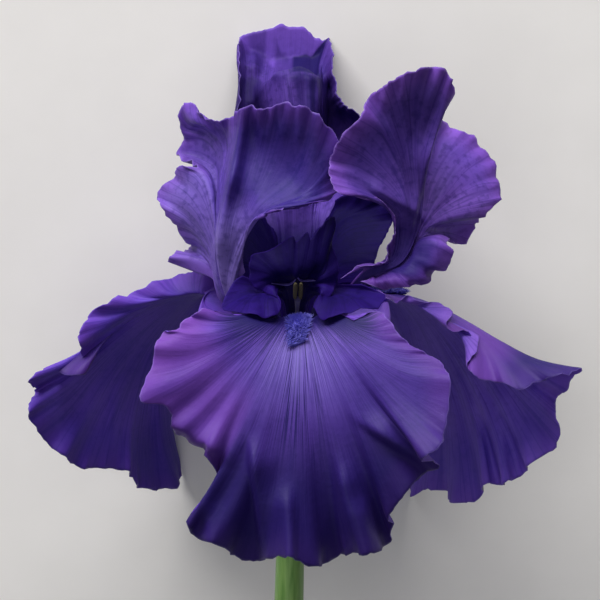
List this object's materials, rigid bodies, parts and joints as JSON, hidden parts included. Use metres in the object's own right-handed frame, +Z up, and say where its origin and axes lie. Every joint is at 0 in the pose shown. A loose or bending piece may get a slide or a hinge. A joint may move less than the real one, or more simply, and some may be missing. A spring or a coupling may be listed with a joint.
{
  "type": "bearded iris flower",
  "caption": "Open bearded iris flower, picked with a short stem and lying on its back, with upright standards, hanging ruffled falls, style arms and beards.",
  "frame": {"origin": "centre of the box's underside, on the surface that the flower lies on", "axes": "+Z up from the surface, which is the way the front of the flower faces; +Y along the flower from the cut end of its stem towards its crown; +X to the flower's right as its front is seen"},
  "size_m": [0.1658, 0.2083, 0.1176],
  "materials": {
    "blue_violet_petal": "soft velvety petal tissue",
    "dark_violet_style": "satin petal tissue",
    "blue_beard": "matte fleshy hairs",
    "tan_anther": "matte pollen sacs",
    "green_stem": "satin waxy green tissue",
    "papery_bract": "dry papery bract"
  },
  "bodies": {
    "root": {"fall_front": "blue_violet_petal", "fall_left": "blue_violet_petal", "fall_right": "blue_violet_petal", "standard_left": "blue_violet_petal", "standard_right": "blue_violet_petal", "standard_back": "blue_violet_petal", "style_front": "dark_violet_style", "style_left": "dark_violet_style", "style_right": "dark_violet_style", "beard_front": "blue_beard", "beard_left": "blue_beard", "beard_right": "blue_beard", "stamen_front": "tan_anther", "stamen_left": "tan_anther", "stamen_right": "tan_anther", "ovary_tube": "green_stem", "stem": "green_stem", "spathe_outer": "papery_bract", "spathe_inner": "papery_bract"}
  },
  "joints": []
}
